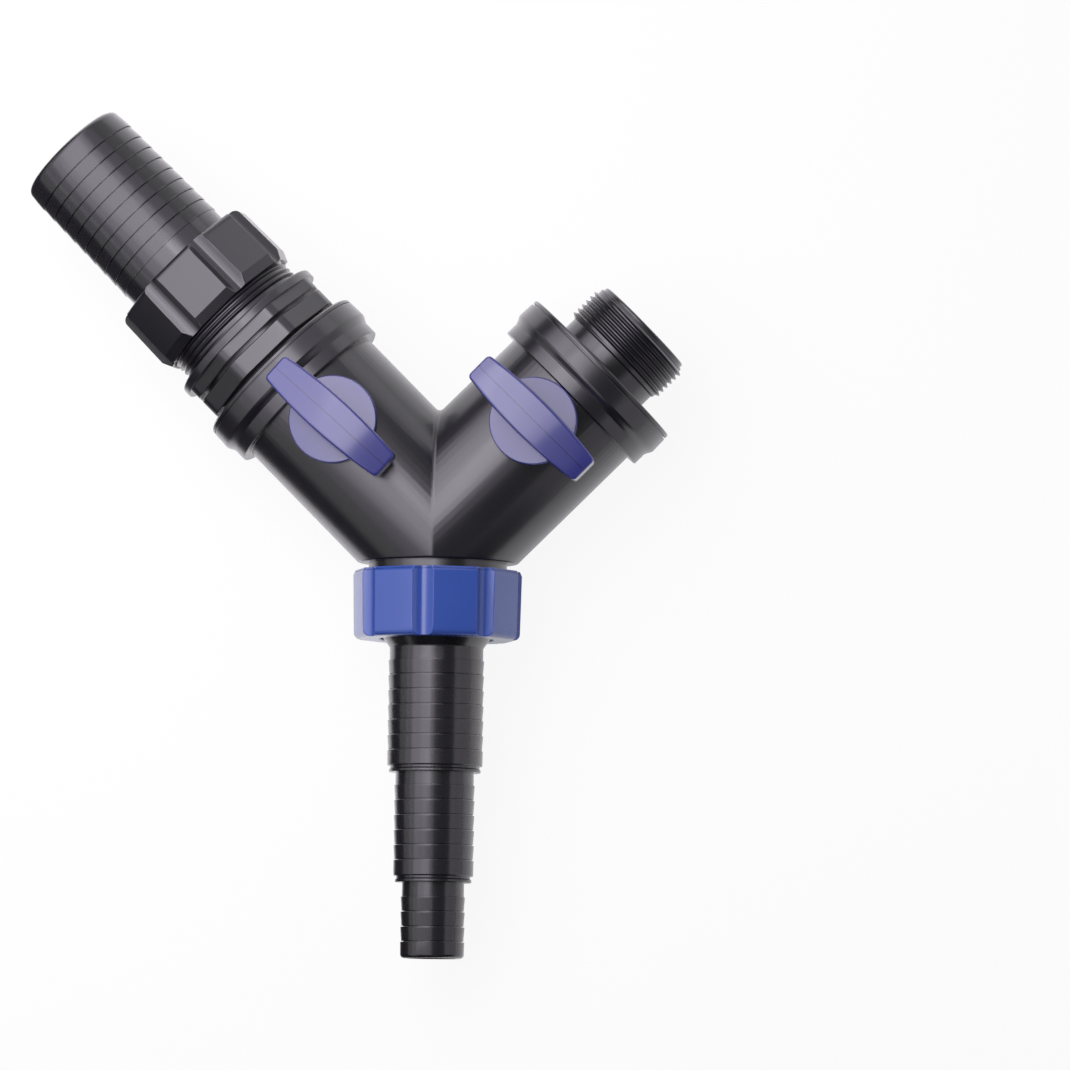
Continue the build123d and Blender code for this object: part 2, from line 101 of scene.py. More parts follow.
def drawing_frame():
    """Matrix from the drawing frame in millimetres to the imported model's frame in metres."""
    left, right = joint("left_valve_turn"), joint("right_valve_turn")
    ball_l, ball_r = Vector(left["pos_m"]), Vector(right["pos_m"])
    up = Vector(left["axis"]).normalized()
    across = (ball_r - ball_l).normalized()
    ahead = up.cross(across)
    crossing = (ball_l + ball_r) / 2 - ahead * VALVE_AT / 1000 * cos(pi / 4)
    turn = Matrix((across, ahead, up)).transposed().to_4x4()
    return Matrix.Translation(crossing) @ turn @ Matrix.Scale(0.001, 4)


def along(direction):
    """Frame with Z along a direction in the plane of the fitting and X straight up."""
    z, x = Vector(direction).normalized(), Vector((0, 0, 1))
    return Matrix((x, z.cross(x), z)).transposed().to_4x4()


DRAWING = drawing_frame()
LEFT = DRAWING @ along((-1, 1, 0))
RIGHT = DRAWING @ along((1, 1, 0))
STEM = DRAWING @ along((0, -1, 0))


# shader and geometry graphs

class Wire:
    """One output of a node. Arithmetic on wires and numbers adds the Math nodes it needs."""

    def __init__(self, graph, socket):
        self.graph, self.socket = graph, socket

    def math(self, how, *values):
        return self.graph.node("ShaderNodeMath", {"operation": how}, values)

    def __add__(self, other):
        return self.math("ADD", self, other)

    def __sub__(self, other):
        return self.math("SUBTRACT", self, other)

    def __rsub__(self, other):
        return self.math("SUBTRACT", other, self)

    def __mul__(self, other):
        return self.math("MULTIPLY", self, other)

    def __truediv__(self, other):
        return self.math("DIVIDE", self, other)

    __radd__, __rmul__ = __add__, __mul__

    def within(self, low, high):
        """0 below low, 1 above high, a smooth step between."""
        settings = {"interpolation_type": "SMOOTHSTEP"}
        return self.graph.node("ShaderNodeMapRange", settings, (self, low, high))


class Graph:
    """Node tree of a material or of Geometry Nodes."""

    def __init__(self, tree):
        self.tree = tree

    def node(self, kind, settings=None, inputs=(), out=0):
        """Adds a node, sets its settings first and then its sockets, and returns one output."""
        made = self.tree.nodes.new(kind)
        for key, value in (settings or {}).items():
            if key == "stops":
                while len(made.color_ramp.elements) < len(value):
                    made.color_ramp.elements.new(0.5)
                for stop, (at, colour) in zip(made.color_ramp.elements, value):
                    stop.position, stop.color = at, colour
            else:
                setattr(made, key, value)
        for key, value in inputs.items() if isinstance(inputs, dict) else enumerate(inputs):
            if isinstance(value, Wire):
                self.tree.links.new(value.socket, made.inputs[key])
            else:
                made.inputs[key].default_value = value
        return Wire(self, made.outputs[out]) if made.outputs else None

    def mix(self, share, a, b):
        """Colour between a and b."""
        return self.node("ShaderNodeMix", {"data_type": "RGBA"}, {0: share, 6: a, 7: b}, out=2)

    def along(self, place, way):
        """How far a place lies along a way."""
        return self.node("ShaderNodeVectorMath", {"operation": "DOT_PRODUCT"}, (place, way), out=1)


# finishes

def finish_graph(name):
    made = bpy.data.materials.new(name)
    made.use_nodes = True
    made.node_tree.nodes.clear()
    return made, Graph(made.node_tree)


def plastic(name, colour, deep, rough, coat, grain, wear=0.0, seam=None):
    """Injection-moulded plastic: faint flow marks, fine grain, light scuffs, a mould line on a plane.

    The seam is the plane's normal and its distance from the origin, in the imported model's frame.
    """
    made, g = finish_graph(name)
    at = g.node("ShaderNodeTexCoord", out=3)
    flow = g.node("ShaderNodeTexNoise", {"normalize": True},
                  {"Vector": at, "Scale": 22.0, "Detail": 3.0, "Roughness": 0.55})
    fine = g.node("ShaderNodeTexNoise", {"normalize": True},
                  {"Vector": at, "Scale": 900.0, "Detail": 2.0, "Roughness": 0.6})
    drawn_out = g.node("ShaderNodeMapping", inputs={
        "Vector": at, "Rotation": (0.3, 0.2, 0.8), "Scale": (1.0, 14.0, 6.0)})
    streaks = g.node("ShaderNodeTexNoise", {"normalize": True},
                     {"Vector": drawn_out, "Scale": 70.0, "Detail": 4.0, "Roughness": 0.7})
    scuff = streaks.within(0.62, 0.8) * wear
    shade = flow.within(0.3, 0.7)
    base = g.mix(shade * 0.7 + fine * 0.3, deep, colour)
    height = fine + scuff * 0.5 + flow * 2.0
    if seam:
        normal, offset = seam
        away = g.along(at, normal) - offset
        line = 1.0 - away.math("ABSOLUTE", away).within(0.00008, 0.00026)
        base = g.mix(line * 0.9, base, (*(c * 0.35 for c in deep[:3]), 1))
        height = height - line * 14.0
    gloss = rough + (flow - 0.5) * 0.10 + (fine - 0.5) * 0.06 + scuff * 0.25
    bump = g.node("ShaderNodeBump", inputs={"Strength": 0.35, "Distance": 0.00002 * grain,
                                            "Height": height})
    shader = g.node("ShaderNodeBsdfPrincipled", inputs={
        "Base Color": base, "Roughness": gloss, "Normal": bump, "IOR": 1.5,
        "Coat Weight": coat, "Coat Roughness": max(rough - 0.12, 0.08)})
    g.node("ShaderNodeOutputMaterial", inputs={"Surface": shader})
    return made


BLACK, BLACK_DEEP = (0.0085, 0.008, 0.0115, 1), (0.006, 0.0056, 0.0085, 1)
SATIN_BLACK = plastic("satin_black_moulding", BLACK, BLACK_DEEP, 0.32, 0.9, 0.6, 0.5)
GLOSS_BLACK = plastic("gloss_black_moulding", BLACK, BLACK_DEEP, 0.27, 0.9, 0.4, 0.4)
NUT_BLUE = plastic("nut_blue_moulding", (0.034, 0.086, 0.36, 1), (0.028, 0.072, 0.32, 1),
                   0.26, 0.75, 0.15, 0.1)
BALL_BLACK = plastic("polished_ball", (0.03, 0.03, 0.033, 1), (0.022, 0.022, 0.025, 1), 0.12, 0.3, 0.2)
SEAT_WHITE = plastic("seat_white", (0.80, 0.80, 0.78, 1), (0.72, 0.72, 0.70, 1), 0.4, 0.0, 0.4)
RUBBER_BLACK = plastic("ring_rubber", (0.012, 0.012, 0.012, 1), (0.008, 0.008, 0.008, 1),
                       0.62, 0.0, 1.5)


def handle_blue(side):
    """Blue of one handle, with the mould line along its grip."""
    turn = joint(f"{side}_valve_turn")
    up, at = Vector(turn["axis"]).normalized(), Vector(turn["pos_m"])
    arm = DRAWING.to_3x3() @ Vector((-1, 1, 0) if side == "left" else (1, 1, 0))
    across = up.cross(Matrix.Rotation(radians(GRIP_TURN[side]), 3, up) @ arm).normalized()
    return plastic(f"{side}_handle_blue", (0.028, 0.032, 0.182, 1), (0.022, 0.025, 0.158, 1),
                   0.24, 0.85, 0.4, 0.2, seam=(tuple(across), across.dot(at)))


# Geometry Nodes trees

def tree_with(name, sizes):
    """Empty tree with a geometry input, the named sizes, a material input and a geometry output."""
    tree = bpy.data.node_groups.new(name, "GeometryNodeTree")
    face = tree.interface
    face.new_socket("Geometry", in_out="INPUT", socket_type="NodeSocketGeometry")
    for size, start in sizes.items():
        kind = "NodeSocketInt" if isinstance(start, int) else "NodeSocketFloat"
        face.new_socket(size, in_out="INPUT", socket_type=kind).default_value = start
    face.new_socket("Finish", in_out="INPUT", socket_type="NodeSocketMaterial")
    face.new_socket("Geometry", in_out="OUTPUT", socket_type="NodeSocketGeometry")
    g = Graph(tree)
    entry = tree.nodes.new("NodeGroupInput")
    wires = {s.name: Wire(g, s) for s in entry.outputs if s.name}
    return g, wires


def close_tree(g, shape, finish):
    """Realizes, welds and paints the shape, and sends it out."""
    real = g.node("GeometryNodeRealizeInstances", inputs={"Geometry": shape})
    weld = g.node("GeometryNodeMergeByDistance", inputs={"Geometry": real, "Distance": MERGE})
    painted = g.node("GeometryNodeSetMaterial", inputs={"Geometry": weld, "Material": finish})
    leave = g.tree.nodes.new("NodeGroupOutput")
    g.tree.links.new(painted.socket, leave.inputs[0])
    return g.tree


def thread_tree():
    """Sweeps the section of a thread along its helix, with a run-out at both ends."""
    g, w = tree_with("pipe_thread", {
        "Radius": 20.0, "Pitch": THREAD_PITCH, "Turns": 6.0, "Sides": 96, "Fade": 0.06})
    helix = g.node("GeometryNodeCurveSpiral", inputs={
        "Resolution": w["Sides"], "Rotations": w["Turns"], "Start Radius": w["Radius"],
        "End Radius": w["Radius"], "Height": w["Turns"] * w["Pitch"]})
    upright = g.node("GeometryNodeSetCurveNormal", {"mode": "Z_UP"}, {"Curve": helix})
    along_it = g.node("GeometryNodeSplineParameter")
    fade = along_it.within(0.0, w["Fade"]) * (1.0 - along_it).within(0.0, w["Fade"])
    section = g.node("GeometryNodeMeshToCurve", inputs={"Mesh": w["Geometry"]})
    ridge = g.node("GeometryNodeCurveToMesh", inputs={
        "Curve": upright, "Profile Curve": section, "Scale": fade * 0.96 + 0.04, "Fill Caps": True})
    return close_tree(g, ridge, w["Finish"])


def around_tree():
    """Repeats one sector of a piece round its axis."""
    g, w = tree_with("sectors_round_axis", {"Count": 8})
    places = g.node("GeometryNodePoints", inputs={"Count": w["Count"]})
    angle = g.node("GeometryNodeInputIndex") * (2 * pi) / w["Count"]
    turn = g.node("FunctionNodeAxisAngleToRotation", inputs={"Axis": (0, 0, 1), "Angle": angle})
    copies = g.node("GeometryNodeInstanceOnPoints", inputs={
        "Points": places, "Instance": w["Geometry"], "Rotation": turn})
    return close_tree(g, copies, w["Finish"])


def barb_tree():
    """Repeats one barb along a hose tail, which narrows a little towards its free end."""
    g, w = tree_with("barbs_along_tail", {"Count": 6, "Pitch": BARB_PITCH, "Narrowing": 0.0})
    step = g.node("ShaderNodeCombineXYZ", inputs={"Z": w["Pitch"]})
    places = g.node("GeometryNodeMeshLine", {"mode": "OFFSET"}, {"Count": w["Count"], "Offset": step})
    copies = g.node("GeometryNodeInstanceOnPoints", inputs={
        "Points": places, "Instance": w["Geometry"]})
    real = g.node("GeometryNodeRealizeInstances", inputs={"Geometry": copies})
    spot = g.node("GeometryNodeInputPosition")
    height = g.node("ShaderNodeSeparateXYZ", inputs=(spot,), out=2)
    share = 1.0 - height * w["Narrowing"]
    scale = g.node("ShaderNodeCombineXYZ", inputs=(share, share, 1.0))
    drawn_in = g.node("ShaderNodeVectorMath", {"operation": "MULTIPLY"}, (spot, scale))
    narrowed = g.node("GeometryNodeSetPosition", inputs={"Geometry": real, "Position": drawn_in})
    return close_tree(g, narrowed, w["Finish"])


THREAD, AROUND, BARBS = thread_tree(), around_tree(), barb_tree()


def grown(tree, seed, **sizes):
    """Plain points and faces that a tree makes from a seed shape."""
    mesh = bpy.data.meshes.new("seed")
    mesh.from_pydata(*seed)
    start = bpy.data.objects.new("seed", mesh)
    bpy.context.scene.collection.objects.link(start)
    grow = start.modifiers.new("grow", "NODES")
    grow.node_group = tree
    for item in tree.interface.items_tree:
        if item.name in sizes:
            grow[item.identifier] = sizes[item.name]
    seen = start.evaluated_get(bpy.context.evaluated_depsgraph_get())
    made = bpy.data.meshes.new_from_object(seen)
    points = [tuple(v.co) for v in made.vertices]
    faces = [tuple(p.vertices) for p in made.polygons]
    bpy.data.objects.remove(start)
    bpy.data.meshes.remove(made)
    return points, faces


# shapes

def between(start, end, share):
    """Point of the round arc from start to end, two spokes of equal length."""
    angle = start.angle(end)
    return (start * sin((1 - share) * angle) + end * sin(share * angle)) / sin(angle)


def rounded(corners, fine=4):
    """Closed profile of (radius, height) corners, where a third number rounds the corner."""
    out, count = [], len(corners)
    for i, corner in enumerate(corners):
        here = Vector(corner[:2])
        if len(corner) < 3:
            out.append(tuple(here))
            continue
        before = Vector(corners[i - 1][:2]) - here
        after = Vector(corners[(i + 1) % count][:2]) - here
        half = before.angle(after) / 2
        reach = min(corner[2] / tan(half), 0.48 * before.length, 0.48 * after.length)
        radius = reach * tan(half)
        back, on = before.normalized(), after.normalized()
        middle = here + (back + on).normalized() * (radius / sin(half))
        start, end = here + back * reach - middle, here + on * reach - middle
        out += [tuple(middle + between(start, end, k / fine)) for k in range(fine + 1)]
    return out


def turned(profile, closed=True, steps=STEPS):
    """Profile turned about Z."""
    ring = [(cos(2 * pi * k / steps), sin(2 * pi * k / steps)) for k in range(steps)]
    points = [(r * c, r * s, z) for r, z in profile for c, s in ring]
    faces = []
    for i in range(len(profile) if closed else len(profile) - 1):
        a, b = i * steps, (i + 1) % len(profile) * steps
        faces += [(a + k, a + (k + 1) % steps, b + (k + 1) % steps, b + k) for k in range(steps)]
    return points, faces


def grid(rows):
    """Skin over equally long rows of points."""
    width = len(rows[0])
    points = [p for row in rows for p in row]
    faces = [(i * width + k, i * width + k + 1, (i + 1) * width + k + 1, (i + 1) * width + k)
             for i in range(len(rows) - 1) for k in range(width - 1)]
    return points, faces


def plain(bm):
    """Points and faces of a working mesh, which is freed."""
    bm.verts.index_update()
    points = [tuple(v.co) for v in bm.verts]
    faces = [tuple(v.index for v in f.verts) for f in bm.faces]
    bm.free()
    return points, faces


def moved(shape, by):
    points, faces = shape
    return [tuple(by @ Vector(p)) for p in points], faces


def piece(name, shapes, place, finish, body, stands_for=(), crease=31.0):
    """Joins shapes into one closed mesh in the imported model's frame, riding on a body."""
    bm = bmesh.new()
    for points, faces in shapes:
        corners = [bm.verts.new(p) for p in points]
        for face in faces:
            bm.faces.new([corners[k] for k in face])
    bmesh.ops.remove_doubles(bm, verts=bm.verts, dist=MERGE)
    bmesh.ops.dissolve_degenerate(bm, edges=bm.edges, dist=MERGE / 2)
    bmesh.ops.recalc_face_normals(bm, faces=bm.faces)
    bm.transform(place)
    mesh = bpy.data.meshes.new(name)
    bm.to_mesh(mesh)
    bm.free()
    mesh.materials.append(finish)
    mesh.shade_smooth()
    mesh.set_sharp_from_angle(angle=radians(crease))
    made = bpy.data.objects.new(name, mesh)
    bpy.context.scene.collection.objects.link(made)
    even = made.modifiers.new("even_shading", "WEIGHTED_NORMAL")
    even.keep_sharp = True
    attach(made, body)
    if stands_for:
        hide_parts(*stands_for)
    return made


def thread_ridge(crest_r, start, end):
    """Right-hand pipe thread of 11 turns to the inch."""
    half, middle = THREAD_PITCH * 0.48, THREAD_CREST - THREAD_DEPTH
    top = [(middle - THREAD_CREST * cos(a), THREAD_CREST * sin(a), 0)
           for a in (-1.06, -0.64, -0.21, 0.21, 0.64, 1.06)]
    section = [(0.25, -half, 0), *top, (0.25, half, 0)]
    edges = [(k, (k + 1) % len(section)) for k in range(len(section))]
    turns = (end - start) / THREAD_PITCH - 0.9
    ridge = grown(THREAD, (section, edges, []),
                  Radius=crest_r - THREAD_DEPTH, Turns=turns, Fade=0.2 / turns)
    return moved(ridge, Matrix.Translation((0, 0, start + 0.45 * THREAD_PITCH)))


def barb_ring(crest, depth):
    """One barb: a ledge that faces the nut, a rounded crest and a long cone."""
    low, line = crest - depth, BARB_PITCH - BARB_LINE
    floor = low - BARB_LINE_DEPTH
    section = [(low, 0.0), (crest - 0.12, 0.02), (crest - 0.03, 0.10), (crest, 0.26),
               (crest - 0.03, 0.8), (crest - depth * 0.5, 3.1), (low + 0.04, line - 0.04),
               (low - 0.02, line), (floor, BARB_PITCH - BARB_LINE * 0.8),
               (floor, BARB_PITCH - 0.02), (low, BARB_PITCH)]
    return turned(section, closed=False)


def barbs(first, count, crest, depth, narrowing=0.0):
    """All but the last barb of a length, from its first ledge."""
    points, faces = barb_ring(crest, depth)
    rings = grown(BARBS, (points, [], faces), Count=count - 1, Narrowing=narrowing)
    return moved(rings, Matrix.Translation((0, 0, first)))


# pieces

def union_nut(name, thread_end, hole_r, turn, mouth, bevel, place, finish, body):
    """Union nut: eight flat pads with sloped grooves between them, a bevelled mouth and a web.

    The thread that it holds ends at thread_end. Turn is in degrees from straight up to the first
    groove, and mouth and bevel are the length and depth of the bevel at the mouth.
    """
    start = thread_end - NUT_ENGAGED
    end = start + NUT_L
    sector = pi / 4
    pad_edge = NUT_PAD_EDGE / NUT_R

    def drop(t):
        """How far the outside falls back at the mouth's bevel and at the rounded far end."""
        far = NUT_L - t
        back = bevel * max(0.0, 1 - t / mouth)
        if far < NUT_FAR_ROUND:
            back += NUT_FAR_ROUND - (NUT_FAR_ROUND ** 2 - (NUT_FAR_ROUND - far) ** 2) ** 0.5
        return back + NUT_DRAFT * t / NUT_L

    def outer(angle, t):
        off_pad = sector / 2 - abs(angle)
        pad = (NUT_R * cos(sector / 2 - pad_edge) - drop(t)) / cos(off_pad)
        crown = NUT_R - drop(t)
        pad = NUT_FLAT * pad + (1 - NUT_FLAT) * crown
        share = max(0.0, (abs(angle) * NUT_R - NUT_FLOOR) / (pad_edge * NUT_R - NUT_FLOOR))
        floor = min(NUT_GROOVE_R - NUT_GROOVE_DRAFT * t / NUT_L, crown - 0.3)
        return min(pad, floor + (NUT_R - NUT_GROOVE_R) * share ** 1.6)

    arcs = [0, NUT_FLOOR, 0.8, 1.2, 1.6, 2.0, 2.4, 2.8, 3.2, 3.6, 3.9, 4.15, 4.3, NUT_PAD_EDGE,
            4.5, 4.65, 5.2, 7.0, 9.0, 11.4]
    half = [a / NUT_R for a in arcs] + [sector / 2]
    angles = [-a for a in reversed(half)][:-1] + half
    heights = [0.0, 0.12, 0.3, 1.0, mouth * 0.4, mouth * 0.6, mouth * 0.8, mouth - 0.3,
               mouth - 0.1, mouth + 0.1, mouth + 0.4, mouth + 1.2, NUT_L / 2, NUT_L - 5.0,
               NUT_L - NUT_FAR_ROUND - 0.3]
    heights += [NUT_L - NUT_FAR_ROUND * (1 - sin(k * pi / 18)) for k in range(1, 9)] + [NUT_L - 0.02]
    rows = [[(outer(a, h) * cos(a), outer(a, h) * sin(a), start + h) for a in angles]
            for h in heights]
    bore_r = THREAD_2_R + THREAD_FIT
    inside = [(hole_r + 0.4, end), (hole_r, end - 0.4), (hole_r, end - NUT_WEB),
              (bore_r, end - NUT_WEB), (bore_r, start + 1.0), (THREAD_2_R + 0.9, start)]
    rows += [[(r * cos(a), r * sin(a), z) for a in angles] for r, z in inside]
    rows.append(rows[0])
    points, faces = grid(rows)
    nut = grown(AROUND, (points, [], faces), Count=8)
    place = place @ Matrix.Rotation(radians(turn), 4, "Z")
    return piece(name, [nut], place, finish, body, (name,))


def hose_tail_50():
    """Straight tail for 50 mm hose."""
    start = ADAPTER_END + GASKET_T
    flange = start + TAIL_FLANGE_T
    last = TAIL_50_FIRST + (TAIL_50_BARBS - 1) * BARB_PITCH
    depth = TAIL_50_BARB
    narrowing = TAIL_50_TAPER / TAIL_50_R / (TAIL_50_BARBS * BARB_PITCH)
    low = TAIL_50_R - depth
    share = 1 - narrowing * (TAIL_50_BARBS - 1) * BARB_PITCH
    crest = TAIL_50_R * share
    outside = [(low, TAIL_50_FIRST), (low, flange + 0.8), (low + 0.8, flange),
               (TAIL_FLANGE_R - 0.3, flange), (TAIL_FLANGE_R, flange - 0.3),
               (TAIL_FLANGE_R, start + 0.3), (TAIL_FLANGE_R - 0.3, start),
               (TAIL_50_BORE_R + 0.5, start), (TAIL_50_BORE_R, start + 0.5),
               (TAIL_50_BORE_R, TAIL_50_END - 0.6), (TAIL_50_BORE_R + 0.6, TAIL_50_END)]
    end_r = TAIL_50_R - TAIL_50_TAPER - 0.5
    outside += [(end_r - TAIL_50_ROUND * (1 - sin(a)), TAIL_50_END - TAIL_50_ROUND * (1 - cos(a)))
                for a in (0, 0.35, 0.7, 1.05, 1.4, pi / 2)]
    outside += [(crest - 0.2, last + 3.6), (crest - 0.04, last + 0.8), (crest, last + 0.26),
                (crest - 0.03, last + 0.1), (crest - 0.12, last + 0.02), (low * share, last)]
    shell = turned(outside, closed=False)
    rings = barbs(TAIL_50_FIRST, TAIL_50_BARBS, TAIL_50_R, depth, narrowing)
    return piece("left_hose_tail_barbed", [shell, rings], LEFT, GLOSS_BLACK, "left_tail",
                 ("left_hose_tail",))


def stepped_tail():
    """Tail with three sizes of barbed step."""
    start = BASE_END + GASKET_T
    flange = start + TAIL_FLANGE_T
    # crest radius, start, end, first barb, count of barbs and bore radius of each step
    steps = [(19.1, 48.2, 98.1, 53.4, 7, 15.2), (16.05, 98.1, 142.0, 103.2, 6, 12.65),
             (12.8, 142.0, 172.2, 147.7, 4, 9.8)]
    depth = STEP_BARB
    shapes = []
    inside = [(18.2, start)]
    chain = [(18.2, start), (TAIL_FLANGE_R - 0.3, start), (TAIL_FLANGE_R, start + 0.3),
             (TAIL_FLANGE_R, flange - 0.3), (TAIL_FLANGE_R - 0.3, flange), (CONE_R, flange),
             (CONE_R, 43.4), (CONE_R - 0.15, 43.9), (19.0, 47.9), (18.68, 48.6)]
    for k, (crest, at, end, first, count, bore) in enumerate(steps):
        low = crest - depth
        last = first + (count - 1) * BARB_PITCH
        if k:
            chain += [(low, at), (low, at + 0.2)]
        chain.append((low, first))
        shapes.append(turned(chain, closed=False))
        shapes.append(barbs(first, count, crest, depth))
        chain = [(low, last), (crest - 0.12, last + 0.02), (crest - 0.03, last + 0.10),
                 (crest, last + 0.26), (crest - 0.05, last + 1.4)]
        if k < 2:
            chain += [(crest - 0.1, end - 2.9), (crest - 0.35, end - 2.55), (crest - 1.25, end - 2.4),
                      (crest - 1.25, end - 1.6), (crest - 1.0, end - 1.25), (crest - 0.8, end - 1.1),
                      (crest - 0.75, end - 0.3), (crest - 0.95, end)]
        else:
            chain += [(crest - 0.1, end - 1.4), (crest - 0.35, end - 0.7),
                      (crest - 0.8, end - 0.25), (crest - 1.6, end)]
        inside += [(bore, at), (bore, end if k == 2 else end - 4.8)]
    chain += list(reversed(inside))
    shapes.append(turned(chain, closed=False))
    return piece("stepped_hose_tail_barbed", shapes, STEM, GLOSS_BLACK, "base_tail",
                 ("stepped_hose_tail",))


def outlet():
    """Right outlet: lip, neck, G 1 1/2 thread and end ring, with its spigot inside the arm."""
    root = THREAD_11_R - THREAD_DEPTH
    ring = NECK_R - 0.15
    profile = rounded([
        (SPIGOT_R - 11.9, SPIGOT_AT), (SPIGOT_R - 0.6, SPIGOT_AT), (SPIGOT_R, SPIGOT_AT + 0.6),
        (SPIGOT_R, COLLAR_END),
        (LIP_R - 1.4, COLLAR_END), (LIP_R - 1.4, COLLAR_END + 0.5), (LIP_R, COLLAR_END + 0.6, 0.08),
        (LIP_R, LIP_END, 0.7), (NECK_R, LIP_END, 0.9), (NECK_R, THREAD_11_AT, 0.25),
        (root, THREAD_11_AT + 0.6, 0.2), (root, OUTLET_END - 1.9, 0.2),
        (ring, OUTLET_END - 1.7, 0.15), (ring, OUTLET_END, 0.8), (OUTLET_BORE_R, OUTLET_END, 0.5),
        (OUTLET_BORE_R, SPIGOT_AT + 6.4), (SPIGOT_R - 11.9, SPIGOT_AT + 6.4)])
    ridge = thread_ridge(THREAD_11_R, THREAD_11_AT, THREAD_11_END + 0.6)
    return piece("right_outlet_threaded", [turned(profile), ridge], RIGHT, SATIN_BLACK, "body",
                 ("right_outlet",))


def octagon_band(start, end, inner=29.0, bevel=0.35):
    """Band of the adapter's octagon, with rounded corners."""
    def corner(angle, inset):
        flat = ADAPTER_FLAT_R - inset
        top = ADAPTER_CORNER_R - inset
        r = flat / cos(angle)
        blend = 0.35
        h = max(blend - abs(r - top), 0) / blend
        return min(r, top) - h * h * blend / 4

    half = [0, 5, 10, 14, 16.5, 18, 19, 19.8, 20.6, 21.4, 22.5]
    angles = [radians(-a) for a in reversed(half)][:-1] + [radians(a) for a in half]
    rows = []
    edge = ((0.0, bevel), (0.12, bevel * 0.45), (bevel * 0.6, 0.1), (bevel, 0.0))
    sides = [(start + t, inset) for t, inset in edge] + [(end - t, inset) for t, inset in reversed(edge)]
    for z, inset in sides:
        rows.append([(corner(a, inset) * cos(a), corner(a, inset) * sin(a), z) for a in angles])
    rows.append([(inner * cos(a), inner * sin(a), end) for a in angles])
    rows.append([(inner * cos(a), inner * sin(a), start) for a in angles])
    rows.append(rows[0])
    points, faces = grid(rows)
    return grown(AROUND, (points, [], faces), Count=8)


def adapter():
    """Octagon of two bands, round rim and G 2 thread."""
    root = THREAD_2_R - THREAD_DEPTH
    core = rounded([
        (THREAD_11_R + 0.9, ADAPTER_AT), (29.6, ADAPTER_AT), (29.6, RIM_AT), (RIM_R, RIM_AT, 0.4),
        (RIM_R, RIM_END, 0.9), (root, RIM_END, 0.5), (root, ADAPTER_END - 1.2, 0.3),
        (root - 0.9, ADAPTER_END, 0.2), (ADAPTER_BORE_R, ADAPTER_END, 0.5),
        (ADAPTER_BORE_R, ADAPTER_SOCKET), (THREAD_11_R + THREAD_FIT, ADAPTER_SOCKET),
        (THREAD_11_R + THREAD_FIT, ADAPTER_AT + 0.9)])
    bands = [octagon_band(ADAPTER_AT, BAND_1_END + 0.1), octagon_band(BAND_2_AT - 0.1, RIM_AT + 0.6)]
    ridge = thread_ridge(THREAD_2_R, RIM_END + 0.2, ADAPTER_END - 0.3)
    return piece("adapter_threaded", [turned(core), *bands, ridge], LEFT, SATIN_BLACK, "body",
                 ("adapter",))


def crotch_fillet(radius=CROTCH_R):
    """Rounded valley where the two arms meet, rolled along the mitre."""
    rows = []
    reach = 84
    for k in range(97):
        a = radians(-reach + 2 * reach * k / 96)
        ball = radius * min(1.0, (reach + 4 - abs(degrees(a))) / 16)
        y, z = (TUBE_R + ball) * 2 ** 0.5 * cos(a), (TUBE_R + ball) * sin(a)
        middle = Vector((0, y, z))
        touch_r = (Vector((y / 2, y / 2, 0)) - middle).normalized() * ball
        touch_l = (Vector((-y / 2, y / 2, 0)) - middle).normalized() * ball
        row = [tuple(middle + between(touch_r, touch_l, t / 8)) for t in range(9)]
        crease = Vector((0, TUBE_R * 2 ** 0.5 * cos(a), TUBE_R * sin(a)))
        inward = (crease - middle).normalized()
        row.append(tuple(crease + inward * 0.8))
        row.append(row[0])
        rows.append(row)
    points, faces = grid(rows)
    width = len(rows[0])
    faces.append(tuple(range(width - 1)))
    faces.append(tuple(reversed(range((len(rows) - 1) * width, len(rows) * width - 1))))
    return points, faces


def moulded_arms():
    """The two arms and the foot: the CAD body, cut off before each collar and the lower end."""
    bm = bmesh.new()
    bm.from_mesh(frame["nodes"]["y_body"].data)
    bm.transform(DRAWING.inverted())
    bmesh.ops.remove_doubles(bm, verts=bm.verts, dist=MERGE)
    cuts = [(Vector((-1, 1, 0)).normalized(), FLANGE_AT - 0.5),
            (Vector((1, 1, 0)).normalized(), FLANGE_AT - 0.5),
            (Vector((0, -1, 0)), BASE_AT + 0.02)]
    for way, at in cuts:
        everything = bm.verts[:] + bm.edges[:] + bm.faces[:]
        bmesh.ops.bisect_plane(bm, geom=everything, plane_co=way * at, plane_no=way, clear_outer=True)
        rim = [e for e in bm.edges
               if e.is_boundary and all(abs(v.co.dot(way) - at) < 0.01 for v in e.verts)]
        bmesh.ops.bridge_loops(bm, edges=rim)
    for x in (-MITRE_BAND, MITRE_BAND):
        everything = bm.verts[:] + bm.edges[:] + bm.faces[:]
        bmesh.ops.bisect_plane(bm, geom=everything, plane_co=(x, 0, 0), plane_no=(1, 0, 0))
    return plain(bm)


def softened(node, width=CRISP_EDGE):
    """Copy of a CAD shape with its crisp edges rounded off a little."""
    bm = bmesh.new()
    bm.from_mesh(frame["nodes"][node].data)
    bm.transform(DRAWING.inverted())
    bmesh.ops.remove_doubles(bm, verts=bm.verts, dist=MERGE)
    crisp = [e for e in bm.edges if len(e.link_faces) == 2 and e.calc_face_angle() > radians(35)]
    bmesh.ops.bevel(bm, geom=crisp, offset=width, segments=2, profile=0.5, affect="EDGES",
                    clamp_overlap=True)
    return plain(bm)


